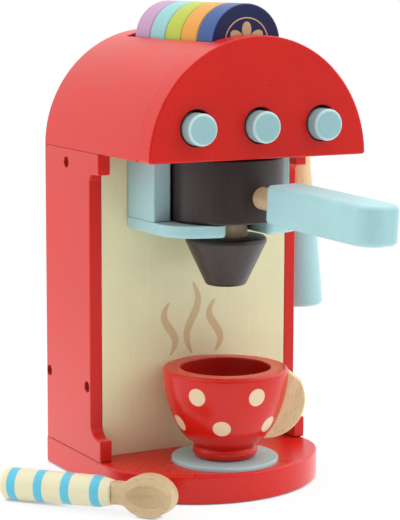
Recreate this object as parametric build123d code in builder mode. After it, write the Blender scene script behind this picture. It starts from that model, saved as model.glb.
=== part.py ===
from build123d import *

import math
import os

# Toy coffee maker in wood: machine, capsules, filter holder, steam wand, cup and spoon.
# Millimetres. +X right, +Y to the back, +Z up. Origin on the base's underside, at its middle.

# ---- boards ----
base_t = 18.0
side_t = 8.0
front_board_t = 10.0
back_panel_t = 9.0
top_board_t = 17.5
front_plate_t = 15.5
shell_t = 7.5
head_floor_t = 12.0
back_plate_t = 9.0
tray_t = 6.0
button_board_t = 6.0

# ---- base plate ----
base_inset = 1.0
base_depth = 145.4
base_bulge = 46.5
base_corner_r = 34.0
base_rear_corner_r = 3.0
base_edge_r = 1.8
base_rear_overhang = 4.5

# ---- body ----
body_height = 188.3
head_radius = 72.5
head_depth = 144.5
head_axis_drop = 1.4
front_plate_hang = 0.3
front_plate_corner_r = 2.0
front_plate_seam_r = 0.2
panel_setback = 0.2
panel_depth = 77.9
notch_depth = 12.4
notch_top_corner_r = 5.0
notch_bottom_corner_r = 9.0
top_ear = 13.0
bottom_ear = 13.2
bottom_ear_reach = 1.2
front_board_step = 0.1
board_edge_r = 1.0
slot_corner_r = 1.5

# ---- push buttons ----
button_pitch = 41.9
button_height = 18.7
button_r = 9.4
button_hole_gap = 1.25
button_hole_rise = 0.6
button_hole_ease = 0.5
button_board_setback = 12.0
button_rim_r = 2.3
button_stand_off = 8.6
button_length = 18.5
button_travel = 4.5
stem_r = 4.0
stem_length = 29.0
running_fit = 0.05
spring_r = 6.0
spring_wire_r = 0.35
spring_turns = 5
ring_r = 6.4
ring_t = 3.0

# ---- capsules and their trough ----
pod_r = 22.7
pod_t = 19.75
pod_count = 5
pod_gap = 0.3
pod_edge_r = 1.2
pod_front_gap = 1.4
slot_side_gap = 1.7
slot_spare = 9.0
pod_lift_above_axis = 67.8
trough_side_gap = 2.4
trough_rail_h = 11.0
tray_rail_t = 6.0

# ---- filter holder and its U ----
brew_setback = 40.1
drum_r = 34.6
drum_h = 38.0
drum_top_gap = 1.1
drum_bottom_gap = 0.5
drum_side_gap = 0.75
block_t = 11.6
block_past_axis = 4.2
holder_plate_t = 7.6
holder_arc_r = 100.0
holder_corner_r = 23.0
holder_reach = 27.6
holder_tip_r = 3.0
holder_edge_r = 2.4
holder_seam_r = 0.6
neck_r = 12.95
neck_slot_gap = 0.9
spigot_r = 6.5
spigot_h = 25.0
turn_gap = 0.1
spout_top_r = 26.1
spout_bottom_r = 12.0
spout_h = 29.8
spout_drop = 2.4
spout_lip_r = 2.4
spout_rim_r = 2.6
drum_edge_r = 1.2
handle_turn = 8.3
handle_droop = 2.9
handle_height = 17.2
handle_dowel_r = 6.6
handle_dowel_in_drum = 16.0
handle_dowel_in_paddle = 25.0
paddle_start = 52.8
paddle_end = 142.6
paddle_w = 26.4
paddle_h = 22.8
paddle_near_corner_r = 4.0
paddle_left_corner_r = 12.9
paddle_right_corner_r = 8.0
paddle_edge_r = 3.0

# ---- steam wand ----
wand_y = 31.7
wand_side_gap = 0.5
wand_foot_r = 18.0
wand_joint_r = 12.4
wand_neck_r = 8.4
wand_foot_drop = 115.3
wand_joint_drop = 54.3
wand_neck_drop = 20.3
wand_over_pivot = 9.0
wand_top_ease = 2.0
wand_foot_edge_r = 2.6
wand_neck_l = 12.0
wand_neck_swell = 0.35
tenon_end_gap = 0.3
wand_tenon_r = 6.0
wand_tenon_l = 22.0
peg_r = 4.0
peg_in_floor = 11.0
peg_cap_r = 6.5
peg_cap_t = 4.0
peg_cap_round = 2.0
spacer_r = 8.0
spacer_gap = 0.3

# ---- saucer, cup ----
saucer_r = 32.7
saucer_t = 3.3
saucer_recess = 1.0
saucer_fit = 0.1
saucer_edge_r = 0.7
shell_fit = 0.1
cup_seat_gap = 0.1
foot_bottom_r = 17.6
foot_bulge_r = 20.05
waist_r = 18.0
waist_h = 7.9
foot_bulge_h = 3.6
cup_rim_r = 38.4
cup_h = 55.4
cup_rim_round = 2.4
cup_mouth_round = 0.8
cup_mouth_r = 27.5
cup_floor_h = 16.0
cup_floor_r = 15.0
cup_handle_turn = 61.5
cup_handle_r = 24.3
cup_handle_out = 24.4
cup_handle_up = 35.7
cup_handle_t = 9.0
cup_handle_edge_r = 1.2
cup_handle_flat = 22.4
cup_handle_flat_turn = 51.0

# ---- spoon ----
spoon_x = -129.3
spoon_y = 3.6
spoon_turn = 37.8
spoon_roll = 3.0
spoon_handle_l = 73.0
spoon_handle_r = 9.75
spoon_handle_front_r = 9.4
spoon_nose_l = 9.0
spoon_nose_r = 7.4
spoon_nose_edge_r = 1.2
spoon_shoulder_r = 14.0
spoon_end_r = 4.0
spoon_tongue_w = 9.0
spoon_tongue_t = 6.0
spoon_neck_w = 12.4
spoon_root_r = 6.0
spoon_neck_l = 6.4
spoon_neck_in = 12.0
spoon_bowl_l = 33.0
spoon_bowl_w = 25.0
spoon_t = 10.0
spoon_edge_r = 1.0
scoop_depth = 4.8
scoop_w = 13.6
scoop_l = 27.5
scoop_forward = 1.0

# ---- fasteners ----
screw_head_r = 3.3
screw_head_t = 2.2
screw_r = 1.7
screw_l = 24.0
counterbore_r = 3.6
counterbore_t = 4.2
pilot_gap = 0.05
screw_end_gap = 0.5
cross_w = 0.9
cross_l = 4.2
cross_t = 1.2
dowel_r = 2.5
thin_dowel_r = 2.0
dowel_l = 18.0
thin_dowel_l = 16.0
dowel_end_r = 0.4
dowel_in_plate = 5.0
dowel_in_floor = 8.0
floor_skin = 2.0
screw_from_middle = 39.0
head_screw_inset = 10.0
low_screw_height = 43.8
dowel_from_ear = 20.0
dowel_from_rear = 12.0
block_dowel_inset = 9.0
base_screw_l = 32.0
head_screw_l = 18.0

# ---- levels and stations that follow from the sizes above ----
base_width = 2 * (head_radius - base_inset)
base_arc_r = (base_width ** 2 / 4 + base_bulge ** 2) / (2 * base_bulge)
seam_z = base_t + body_height
head_axis_z = seam_z - head_axis_drop
inner_half = head_radius - side_t
shell_inner_r = head_radius - shell_t
head_rear_y = base_depth / 2 - base_rear_overhang
head_front_y = head_rear_y - head_depth
plate_rear_y = head_front_y + front_plate_t
panel_rear_y = head_rear_y - panel_setback
ear_front_y = panel_rear_y - panel_depth
notch_y = ear_front_y + notch_depth
bottom_ear_front_y = ear_front_y - bottom_ear_reach
board_front_y = notch_y + front_board_step
board_rear_y = board_front_y + front_board_t
back_front_y = panel_rear_y - back_panel_t
floor_top_z = seam_z + head_floor_t
back_plate_y = head_rear_y - back_plate_t

axis_y = head_front_y + brew_setback
drum_top_z = seam_z - front_plate_hang - drum_top_gap
drum_bottom_z = drum_top_z - drum_h
holder_top_z = drum_bottom_z - drum_bottom_gap
holder_bottom_z = holder_top_z - holder_plate_t
spout_top_z = holder_bottom_z - spout_drop
block_inner = drum_r + drum_side_gap
block_outer = block_inner + block_t
block_front_y = axis_y + block_past_axis

button_z = seam_z + button_height
button_board_y = plate_rear_y + button_board_setback
cap_front_y = head_front_y - button_stand_off
cap_rear_y = cap_front_y + button_length

pod_z = head_axis_z + pod_lift_above_axis
trough_z = pod_z - pod_r - pod_gap
slot_half = pod_r + slot_side_gap
pod_pitch = pod_t + pod_gap
pod_front_y = plate_rear_y + pod_front_gap
slot_end_y = pod_front_y + pod_count * pod_pitch + slot_spare

wand_x = head_radius + wand_side_gap + wand_foot_r
pivot_z = seam_z + head_floor_t / 2
wand_foot_z = pivot_z - wand_foot_drop
wand_joint_z = pivot_z - wand_joint_drop
wand_neck_z = pivot_z - wand_neck_drop

saucer_top_z = base_t - saucer_recess + saucer_t
cup_z = saucer_top_z + cup_seat_gap

os.makedirs("parts", exist_ok=True)


def save(piece, label):
    """Name a finished piece and write it to its own STEP file."""
    piece.part.label = label
    export_step(piece.part, f"parts/{label}.step")


def facing_front(y):
    """Plane across the machine at y: its own x, y are the machine's X, Z; -Y is outward."""
    return Plane.XZ.offset(-y)


def slab(low, high):
    """Add a square-edged board between two corners to the piece being built."""
    with Locations(tuple((a + b) / 2 for a, b in zip(low, high))):
        Box(*(b - a for a, b in zip(low, high)))


def drill(start, direction, radius, length):
    """Cut a round hole from a point on a face into the piece being built."""
    with BuildSketch(Plane(origin=start, z_dir=direction)) as hole:
        Circle(radius)
    extrude(hole.sketch, amount=length, mode=Mode.SUBTRACT)


def rod(start, direction, radius, length, eased=dowel_end_r):
    """A plain dowel with eased ends."""
    with BuildPart() as dowel:
        with BuildSketch(Plane(origin=start, z_dir=direction)):
            Circle(radius)
        extrude(amount=length)
        fillet(dowel.edges().filter_by(GeomType.CIRCLE), eased)
    return dowel


def screw(head_top, direction, length=screw_l):
    """A cross-head screw: its head's top is at head_top and its shank runs along direction."""
    with BuildPart() as fastener:
        seat = Plane(origin=head_top, z_dir=direction)
        with BuildSketch(seat):
            Circle(screw_head_r)
        extrude(amount=screw_head_t)
        with BuildSketch(seat.offset(screw_head_t)):
            Circle(screw_r)
        extrude(amount=length)
        with BuildSketch(seat):
            Rectangle(cross_l, cross_w)
            Rectangle(cross_w, cross_l)
        extrude(amount=cross_t, mode=Mode.SUBTRACT)
    return fastener


def group(pieces, label):
    """Identical fasteners as one node of separate solids."""
    save_as = Compound(label=label, children=[p.part for p in pieces])
    export_step(save_as, f"parts/{label}.step")


def after(start, direction, distance):
    """The point that lies a distance from start along a unit direction."""
    return tuple(a + b * distance for a, b in zip(start, direction))


# ---- fastener places ----
side_screw_yz = [
    ((board_rear_y + back_front_y) / 2, seam_z - top_board_t / 2),
    (board_front_y + front_board_t / 2, base_t + low_screw_height),
    (back_front_y + back_panel_t / 2, base_t + low_screw_height),
]
base_screw_xy = [
    (side * screw_from_middle, y)
    for side in (-1, 1)
    for y in (board_front_y + front_board_t / 2, back_front_y + back_panel_t / 2)
]
head_screw_xy = [
    (side * screw_from_middle, y)
    for side in (-1, 1)
    for y in (board_rear_y + head_screw_inset, back_front_y - head_screw_inset)
]
panel_dowel_y = [ear_front_y + dowel_from_ear, panel_rear_y - dowel_from_rear]
block_dowel_y = [block_front_y + block_dowel_inset, board_front_y - block_dowel_inset]
front_dowel_angles = [12, 60, 120, 168]

# ---- base plate ----
arc_centre_y = base_arc_r - base_depth / 2
arc_meets_side_y = base_bulge - base_depth / 2
with BuildPart() as base_plate:
    with BuildSketch() as outline:
        with Locations((0, arc_centre_y)):
            Circle(base_arc_r)
        with Locations((0, (base_depth / 2 + arc_centre_y) / 2)):
            Rectangle(2 * base_arc_r, base_depth / 2 - arc_centre_y)
        Rectangle(base_width, base_depth, mode=Mode.INTERSECT)
        corners = outline.vertices()
        fillet(corners.filter_by_position(Axis.Y, arc_meets_side_y - 1, arc_meets_side_y + 1),
               base_corner_r)
        fillet(outline.vertices().sort_by(Axis.Y)[-2:], base_rear_corner_r)
    extrude(amount=base_t)
    fillet(base_plate.faces().sort_by(Axis.Z)[-1].edges(), base_edge_r)
    fillet(base_plate.faces().sort_by(Axis.Z)[0].edges(), base_edge_r)
    drill((0, axis_y, base_t), (0, 0, -1), saucer_r + saucer_fit, saucer_recess)
    for x, y in base_screw_xy:
        drill((x, y, 0), (0, 0, 1), counterbore_r, counterbore_t)
        drill((x, y, 0), (0, 0, 1), screw_r + pilot_gap, base_t)
    for side in (-1, 1):
        for y in panel_dowel_y:
            drill((side * (head_radius - side_t / 2), y, base_t), (0, 0, -1),
                  thin_dowel_r + pilot_gap, thin_dowel_l / 2)
save(base_plate, "base_plate")


# ---- side panels: a long notch in the front edge leaves an ear at each end ----
def side_panel(side):
    """One side panel; side is -1 for the left one and 1 for the right one."""
    inner_x = side * inner_half
    outer_x = side * head_radius
    with BuildPart() as panel:
        with BuildSketch(Plane.YZ.offset(min(inner_x, outer_x))) as face:
            with BuildLine():
                Polyline(
                    (panel_rear_y, base_t), (panel_rear_y, seam_z), (ear_front_y, seam_z),
                    (ear_front_y, seam_z - top_ear), (notch_y, seam_z - top_ear),
                    (notch_y, base_t + bottom_ear), (bottom_ear_front_y, base_t + bottom_ear),
                    (bottom_ear_front_y, base_t), close=True)
            make_face()
            notch_ends = face.vertices().filter_by_position(Axis.X, notch_y - 0.1, notch_y + 0.1)
            fillet(notch_ends.sort_by(Axis.Y)[-1], notch_top_corner_r)
            notch_ends = face.vertices().filter_by_position(Axis.X, notch_y - 0.1, notch_y + 0.1)
            fillet(notch_ends.sort_by(Axis.Y)[0], notch_bottom_corner_r)
        extrude(amount=side_t)
        fillet(panel.edges(), board_edge_r)
        for y, z in side_screw_yz:
            drill((outer_x, y, z), (-side, 0, 0), counterbore_r, counterbore_t)
            drill((outer_x, y, z), (-side, 0, 0), screw_r + pilot_gap, side_t)
        for y in panel_dowel_y:
            drill((side * (head_radius - side_t / 2), y, base_t), (0, 0, 1),
                  thin_dowel_r + pilot_gap, thin_dowel_l / 2)
    return panel


save(side_panel(-1), "side_panel_left")
save(side_panel(1), "side_panel_right")


# ---- boards between the side panels ----
base_pilot = counterbore_t + base_screw_l - base_t + screw_end_gap


def drill_side_pilots(y, z):
    """Pilot holes for the side screws in both ends of a board."""
    depth = counterbore_t + screw_l - side_t + screw_end_gap
    for side in (-1, 1):
        drill((side * inner_half, y, z), (-side, 0, 0), screw_r + pilot_gap, depth)


with BuildPart() as front_board:
    slab((-inner_half, board_front_y, base_t), (inner_half, board_rear_y, seam_z))
    drill_side_pilots(*side_screw_yz[1])
    for x, y in base_screw_xy:
        if y < (board_rear_y + back_front_y) / 2:
            drill((x, y, base_t), (0, 0, 1), screw_r + pilot_gap, base_pilot)
save(front_board, "front_board")

with BuildPart() as back_panel:
    slab((-inner_half, back_front_y, base_t), (inner_half, panel_rear_y, seam_z))
    drill_side_pilots(*side_screw_yz[2])
    for x, y in base_screw_xy:
        if y > (board_rear_y + back_front_y) / 2:
            drill((x, y, base_t), (0, 0, 1), screw_r + pilot_gap, base_pilot)
save(back_panel, "back_panel")

with BuildPart() as top_board:
    slab((-inner_half, board_rear_y, seam_z - top_board_t),
              (inner_half, back_front_y, seam_z))
    drill_side_pilots(*side_screw_yz[0])
    for x, y in head_screw_xy:
        drill((x, y, seam_z - top_board_t), (0, 0, 1), counterbore_r, counterbore_t)
        drill((x, y, seam_z - top_board_t), (0, 0, 1), screw_r + pilot_gap, top_board_t)
save(top_board, "top_board")

# ---- head: half disc front plate ----
with BuildPart() as head_front_plate:
    with BuildSketch(facing_front(head_front_y)) as disc:
        with Locations((0, head_axis_z)):
            Circle(head_radius)
        with Locations((0, seam_z - front_plate_hang + head_radius)):
            Rectangle(2 * head_radius + 1, 2 * head_radius, mode=Mode.INTERSECT)
        fillet(disc.vertices(), front_plate_corner_r)
    extrude(amount=-front_plate_t)
    fillet(head_front_plate.faces().sort_by(Axis.Y)[0].edges(), board_edge_r)
    fillet(head_front_plate.faces().sort_by(Axis.Y)[-1].edges(), front_plate_seam_r)
    for step in (-1, 0, 1):
        drill((step * button_pitch, head_front_y, button_z + button_hole_rise), (0, 1, 0),
              button_r + button_hole_gap, front_plate_t)
    hole_rims = head_front_plate.faces().sort_by(Axis.Y)[0].inner_wires().edges()
    fillet(hole_rims, button_hole_ease)
    for angle in front_dowel_angles:
        x = (head_radius - shell_t / 2) * math.cos(math.radians(angle))
        z = head_axis_z + (head_radius - shell_t / 2) * math.sin(math.radians(angle))
        drill((x, plate_rear_y, z), (0, -1, 0), thin_dowel_r + pilot_gap, thin_dowel_l / 2)
save(head_front_plate, "head_front_plate")

# ---- head: curved shell with the capsule slot in its crown ----
with BuildPart() as head_shell:
    with BuildSketch(facing_front(plate_rear_y)):
        with Locations((0, head_axis_z)):
            Circle(head_radius)
            Circle(shell_inner_r, mode=Mode.SUBTRACT)
        with Locations((0, seam_z + head_radius)):
            Rectangle(2 * head_radius + 1, 2 * head_radius, mode=Mode.INTERSECT)
    extrude(amount=-(head_rear_y - plate_rear_y))
    with BuildSketch(Plane.XY.offset(head_axis_z)):
        with Locations((0, (plate_rear_y + slot_end_y) / 2)):
            Rectangle(2 * slot_half, slot_end_y - plate_rear_y)
    extrude(amount=head_radius + 1, mode=Mode.SUBTRACT)
    rear_rim = head_shell.edges().filter_by(GeomType.CIRCLE).sort_by(Axis.Y).group_by(Axis.Y)[-1]
    fillet(rear_rim.sort_by(SortBy.RADIUS)[-1], board_edge_r)
    slot_ends = head_shell.edges().filter_by(Axis.Z).filter_by_position(
        Axis.Y, slot_end_y - 1, slot_end_y + 1)
    fillet(slot_ends, slot_corner_r)
    drill((head_radius, wand_y, pivot_z), (-1, 0, 0), peg_r + running_fit, 2 * shell_t)
    for angle in front_dowel_angles:
        x = (head_radius - shell_t / 2) * math.cos(math.radians(angle))
        z = head_axis_z + (head_radius - shell_t / 2) * math.sin(math.radians(angle))
        drill((x, plate_rear_y, z), (0, 1, 0), thin_dowel_r + pilot_gap, thin_dowel_l / 2)
save(head_shell, "head_shell")

with BuildPart() as head_back_plate:
    with BuildSketch(facing_front(back_plate_y)) as rear_disc:
        with Locations((0, head_axis_z)):
            Circle(shell_inner_r - shell_fit)
        with Locations((0, seam_z + head_radius)):
            Rectangle(2 * head_radius, 2 * head_radius, mode=Mode.INTERSECT)
    extrude(amount=-back_plate_t)
save(head_back_plate, "head_back_plate")

# ---- head: floor board, as wide as the shell leaves at the board's top ----
floor_half = math.sqrt((shell_inner_r - shell_fit) ** 2 - (floor_top_z - head_axis_z) ** 2)
with BuildPart() as head_floor:
    slab((-floor_half, plate_rear_y, seam_z), (floor_half, back_plate_y, floor_top_z))
    drill((floor_half, wand_y, pivot_z), (-1, 0, 0), peg_r + running_fit, peg_in_floor)
    for x, y in head_screw_xy:
        drill((x, y, seam_z), (0, 0, 1), screw_r + pilot_gap, head_floor_t - floor_skin)
    for side in (-1, 1):
        for y in block_dowel_y:
            drill((side * (block_inner + block_t / 2), y, seam_z), (0, 0, 1),
                  dowel_r + pilot_gap, dowel_in_floor)
save(head_floor, "head_floor")

# ---- trough that the capsules stand in ----
rail_inner = pod_r + trough_side_gap
rail_outer = rail_inner + tray_rail_t
trough_floor_z = trough_z - tray_t
rail_top_z = trough_z + trough_rail_h
with BuildPart() as trough_floor:
    slab((-rail_outer, plate_rear_y, trough_floor_z), (rail_outer, back_plate_y, trough_z))
save(trough_floor, "trough_floor")

for side, label in ((-1, "trough_rail_left"), (1, "trough_rail_right")):
    near, far = sorted((side * rail_inner, side * rail_outer))
    with BuildPart() as rail:
        slab((near, plate_rear_y, trough_z), (far, back_plate_y, rail_top_z))
    save(rail, label)

with BuildPart() as end_stop:
    slab((-rail_inner, slot_end_y, trough_z), (rail_inner, back_plate_y, rail_top_z))
save(end_stop, "trough_end_stop")

# ---- push buttons: turned pegs, sprung against a board behind the front plate ----
with BuildPart() as button_board:
    half = button_pitch + ring_r
    slab((-half, button_board_y, floor_top_z),
              (half, button_board_y + button_board_t, trough_floor_z))
    for step in (-1, 0, 1):
        drill((step * button_pitch, button_board_y, button_z), (0, 1, 0),
              stem_r + running_fit, button_board_t)
save(button_board, "button_board")

for step, place in ((-1, "left"), (0, "middle"), (1, "right")):
    x = step * button_pitch
    with BuildPart() as button:
        with BuildSketch(facing_front(cap_front_y)):
            with Locations((x, button_z)):
                Circle(button_r)
        extrude(amount=-button_length)
        fillet(button.edges().sort_by(Axis.Y)[0], button_rim_r)
        fillet(button.edges().sort_by(Axis.Y)[-1], button_hole_ease)
        with BuildSketch(facing_front(cap_rear_y)):
            with Locations((x, button_z)):
                Circle(stem_r)
        extrude(amount=-stem_length)
    save(button, f"button_{place}")

    with BuildPart() as ring:
        with BuildSketch(facing_front(button_board_y + button_board_t + turn_gap)):
            with Locations((x, button_z)):
                Circle(ring_r)
                Circle(stem_r + pilot_gap, mode=Mode.SUBTRACT)
        extrude(amount=-ring_t)
    save(ring, f"button_ring_{place}")

    coil_start_y = cap_rear_y + spring_wire_r + pilot_gap
    coil_length = button_board_y - cap_rear_y - 2 * (spring_wire_r + pilot_gap)
    with BuildPart() as spring:
        with BuildLine() as coil:
            Helix(pitch=coil_length / spring_turns, height=coil_length, radius=spring_r,
                  center=(x, coil_start_y, button_z), direction=(0, 1, 0))
        with BuildSketch(Plane(origin=coil.line @ 0, z_dir=coil.line % 0)):
            Circle(spring_wire_r)
        sweep()
    save(spring, f"button_spring_{place}")

# ---- turquoise holder: two blocks under the head and a U-shaped plate ----
for side, label in ((-1, "holder_block_left"), (1, "holder_block_right")):
    near, far = sorted((side * block_inner, side * block_outer))
    with BuildPart() as block:
        slab((near, block_front_y, holder_top_z), (far, board_front_y, seam_z))
        fillet(block.edges().filter_by(Axis.Z), board_edge_r)
        fillet(block.faces().sort_by(Axis.Z)[0].edges(), holder_seam_r)
        for y in block_dowel_y:
            middle_x = side * (block_inner + block_t / 2)
            drill((middle_x, y, seam_z), (0, 0, -1), dowel_r + pilot_gap, dowel_l - dowel_in_floor)
            drill((middle_x, y, holder_top_z), (0, 0, 1), dowel_r + pilot_gap,
                  dowel_l - dowel_in_plate)
    save(block, label)

plate_front_y = axis_y - holder_reach
plate_arc_y = plate_front_y + holder_arc_r
with BuildPart() as holder_plate:
    with BuildSketch(Plane.XY.offset(holder_bottom_z)) as u_shape:
        with Locations((0, plate_arc_y)):
            Circle(holder_arc_r)
        with Locations((0, (plate_front_y + board_front_y) / 2)):
            Rectangle(2 * block_outer, board_front_y - plate_front_y, mode=Mode.INTERSECT)
        fillet(u_shape.vertices().sort_by(Axis.Y)[:2], holder_corner_r)
        with Locations((0, axis_y)):
            Circle(neck_r + neck_slot_gap, mode=Mode.SUBTRACT)
        with Locations((0, axis_y - holder_reach)):
            Rectangle(2 * (neck_r + neck_slot_gap), 2 * holder_reach, mode=Mode.SUBTRACT)
        fillet(u_shape.vertices().group_by(Axis.Y)[0], holder_tip_r)
    extrude(amount=holder_plate_t)
    fillet(holder_plate.faces().sort_by(Axis.Z)[0].edges(), holder_edge_r)
    fillet(holder_plate.faces().sort_by(Axis.Z)[-1].edges(), holder_seam_r)
    for side in (-1, 1):
        for y in block_dowel_y:
            drill((side * (block_inner + block_t / 2), y, holder_top_z), (0, 0, -1),
                  dowel_r + pilot_gap, dowel_in_plate)
save(holder_plate, "holder_plate")

# ---- filter holder: neck and spout cone ----
with BuildPart() as neck_dowel:
    with BuildSketch(Plane.XY.offset(spout_top_z)):
        with Locations((0, axis_y)):
            Circle(neck_r)
    extrude(amount=drum_bottom_z - turn_gap - spout_top_z)
    with BuildSketch(Plane.XY.offset(drum_bottom_z - turn_gap)):
        with Locations((0, axis_y)):
            Circle(spigot_r)
    extrude(amount=spigot_h)
save(neck_dowel, "neck_dowel")

with BuildPart() as spout_cone:
    with BuildSketch(Plane.XZ.offset(-axis_y)) as cone_half:
        with BuildLine():
            Polyline((0, spout_top_z - spout_h), (spout_bottom_r, spout_top_z - spout_h),
                     (spout_top_r, spout_top_z), (0, spout_top_z), close=True)
        make_face()
    revolve(axis=Axis((0, axis_y, 0), (0, 0, 1)))
    fillet(spout_cone.edges().filter_by(GeomType.CIRCLE).sort_by(Axis.Z)[0], spout_lip_r)
    fillet(spout_cone.edges().filter_by(GeomType.CIRCLE).sort_by(Axis.Z)[-1], spout_rim_r)
save(spout_cone, "spout_cone")

# ---- filter holder: drum, handle dowel and paddle, turned and drooping together ----
turn = math.radians(handle_turn)
droop = math.radians(handle_droop)
handle_out = (math.sin(turn) * math.cos(droop), -math.cos(turn) * math.cos(droop), -math.sin(droop))
handle_up = (math.sin(turn) * math.sin(droop), -math.cos(turn) * math.sin(droop), math.cos(droop))
handle_root = (0, axis_y, drum_bottom_z + handle_height)

with BuildPart() as drum:
    with BuildSketch(Plane.XY.offset(drum_bottom_z)):
        with Locations((0, axis_y)):
            Circle(drum_r)
    extrude(amount=drum_h)
    fillet(drum.edges().filter_by(GeomType.CIRCLE), drum_edge_r)
    drill((0, axis_y, drum_bottom_z), (0, 0, 1), spigot_r + running_fit, spigot_h)
    drill(after(handle_root, handle_out, drum_r - handle_dowel_in_drum), handle_out,
          handle_dowel_r + pilot_gap, 2 * handle_dowel_in_drum)
save(drum, "filter_drum")

dowel_start = drum_r - handle_dowel_in_drum + pilot_gap
save(rod(after(handle_root, handle_out, dowel_start), handle_out, handle_dowel_r,
         paddle_start + handle_dowel_in_paddle - dowel_start - pilot_gap), "handle_dowel")

with BuildPart() as paddle_handle:
    lying = Plane(origin=handle_root, x_dir=handle_out, z_dir=handle_up)
    with BuildSketch(lying.offset(-paddle_h / 2)) as paddle_outline:
        with Locations(((paddle_start + paddle_end) / 2, 0)):
            Rectangle(paddle_end - paddle_start, paddle_w)
    extrude(amount=paddle_h)
    upright = paddle_handle.edges().filter_by(Axis((0, 0, 0), handle_up))
    by_reach = upright.sort_by(Axis(handle_root, handle_out))
    fillet(by_reach[:2], paddle_near_corner_r)
    far_edges = (paddle_handle.edges().filter_by(Axis((0, 0, 0), handle_up))
                 .sort_by(Axis(handle_root, handle_out))[-2:].sort_by(Axis.X))
    fillet(far_edges[0], paddle_left_corner_r)
    right_edge = (paddle_handle.edges().filter_by(Axis((0, 0, 0), handle_up))
                  .sort_by(Axis.X)[-1])
    fillet(right_edge, paddle_right_corner_r)
    flat_faces = paddle_handle.faces().sort_by(Axis.Z)
    fillet([flat_faces[0].edges(), flat_faces[-1].edges()], paddle_edge_r)
    drill(after(handle_root, handle_out, paddle_start), handle_out,
          handle_dowel_r + pilot_gap, handle_dowel_in_paddle)
save(paddle_handle, "paddle_handle")

# ---- steam wand: a stem on an axle peg, with a flared nozzle ----
with BuildPart() as wand_stem:
    with BuildSketch(Plane.XZ.offset(-wand_y)):
        with BuildLine():
            top_z = pivot_z + wand_over_pivot
            Polyline((wand_x, wand_joint_z - wand_tenon_l), (wand_x, top_z),
                     (wand_x + wand_neck_r - wand_top_ease, top_z),
                     (wand_x + wand_neck_r, top_z - wand_top_ease),
                     (wand_x + wand_neck_r, wand_neck_z + wand_neck_l))
            Spline((wand_x + wand_neck_r, wand_neck_z + wand_neck_l),
                   (wand_x + wand_neck_r + wand_neck_swell, wand_neck_z),
                   (wand_x + wand_joint_r, wand_joint_z), tangents=[(0, -1), (0.09, -1)])
            Polyline((wand_x + wand_joint_r, wand_joint_z), (wand_x + wand_tenon_r, wand_joint_z),
                     (wand_x + wand_tenon_r, wand_joint_z - wand_tenon_l),
                     (wand_x, wand_joint_z - wand_tenon_l))
        make_face()
    revolve(axis=Axis((wand_x, wand_y, 0), (0, 0, 1)))
    drill((wand_x - 2 * wand_neck_r, wand_y, pivot_z), (1, 0, 0), peg_r + running_fit,
          4 * wand_neck_r)
save(wand_stem, "wand_stem")

with BuildPart() as wand_nozzle:
    with BuildSketch(Plane.XZ.offset(-wand_y)):
        with BuildLine():
            Polyline((wand_x, wand_foot_z), (wand_x + wand_foot_r, wand_foot_z),
                     (wand_x + wand_joint_r, wand_joint_z), (wand_x, wand_joint_z), close=True)
        make_face()
    revolve(axis=Axis((wand_x, wand_y, 0), (0, 0, 1)))
    fillet(wand_nozzle.edges().filter_by(GeomType.CIRCLE).sort_by(Axis.Z)[0], wand_foot_edge_r)
    drill((wand_x, wand_y, wand_joint_z), (0, 0, -1), wand_tenon_r + pilot_gap,
          wand_tenon_l + tenon_end_gap)
save(wand_nozzle, "wand_nozzle")

cap_x = wand_x + wand_neck_r + spacer_gap
with BuildPart() as wand_peg:
    peg_start = floor_half - peg_in_floor + pilot_gap
    with BuildSketch(Plane.YZ.offset(peg_start)):
        with Locations((wand_y, pivot_z)):
            Circle(peg_r)
    extrude(amount=cap_x - peg_start)
    with BuildSketch(Plane.YZ.offset(cap_x)):
        with Locations((wand_y, pivot_z)):
            Circle(peg_cap_r)
    extrude(amount=peg_cap_t)
    fillet(wand_peg.edges().sort_by(Axis.X)[-1], peg_cap_round)
save(wand_peg, "wand_peg")

with BuildPart() as wand_spacer:
    spacer_end = wand_x - wand_neck_r - spacer_gap
    with BuildSketch(Plane.YZ.offset(head_radius + pilot_gap)):
        with Locations((wand_y, pivot_z)):
            Circle(spacer_r)
            Circle(peg_r + pilot_gap, mode=Mode.SUBTRACT)
    extrude(amount=spacer_end - head_radius - pilot_gap)
save(wand_spacer, "wand_spacer")

# ---- saucer disc, set into the base ----
with BuildPart() as saucer:
    with BuildSketch(Plane.XY.offset(base_t - saucer_recess)):
        with Locations((0, axis_y)):
            Circle(saucer_r)
    extrude(amount=saucer_t)
    fillet(saucer.edges().sort_by(Axis.Z)[-1], saucer_edge_r)
save(saucer, "saucer")


# ---- cup: turned bowl on a foot ----
def cup_side(top_z, gap=0.0):
    """Outer profile of the cup from its foot to its rim, then straight up to top_z."""
    waist_z = cup_z + waist_h
    rim_z = cup_z + cup_h
    bowl = [(0.225, 0.066), (0.49, 0.192), (0.696, 0.361), (0.877, 0.579), (0.97, 0.774)]
    swell = cup_rim_r - waist_r
    rise = rim_z - waist_z
    ThreePointArc((foot_bottom_r + gap, cup_z), (foot_bulge_r + gap, cup_z + foot_bulge_h),
                  (waist_r + gap, waist_z))
    Spline((waist_r + gap, waist_z),
           *[(waist_r + gap + swell * u, waist_z + rise * v) for u, v in bowl],
           (cup_rim_r + gap, rim_z))
    Polyline((cup_rim_r + gap, rim_z), (cup_rim_r + gap, top_z), (0, top_z), (0, cup_z),
             (foot_bottom_r + gap, cup_z))


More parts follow.
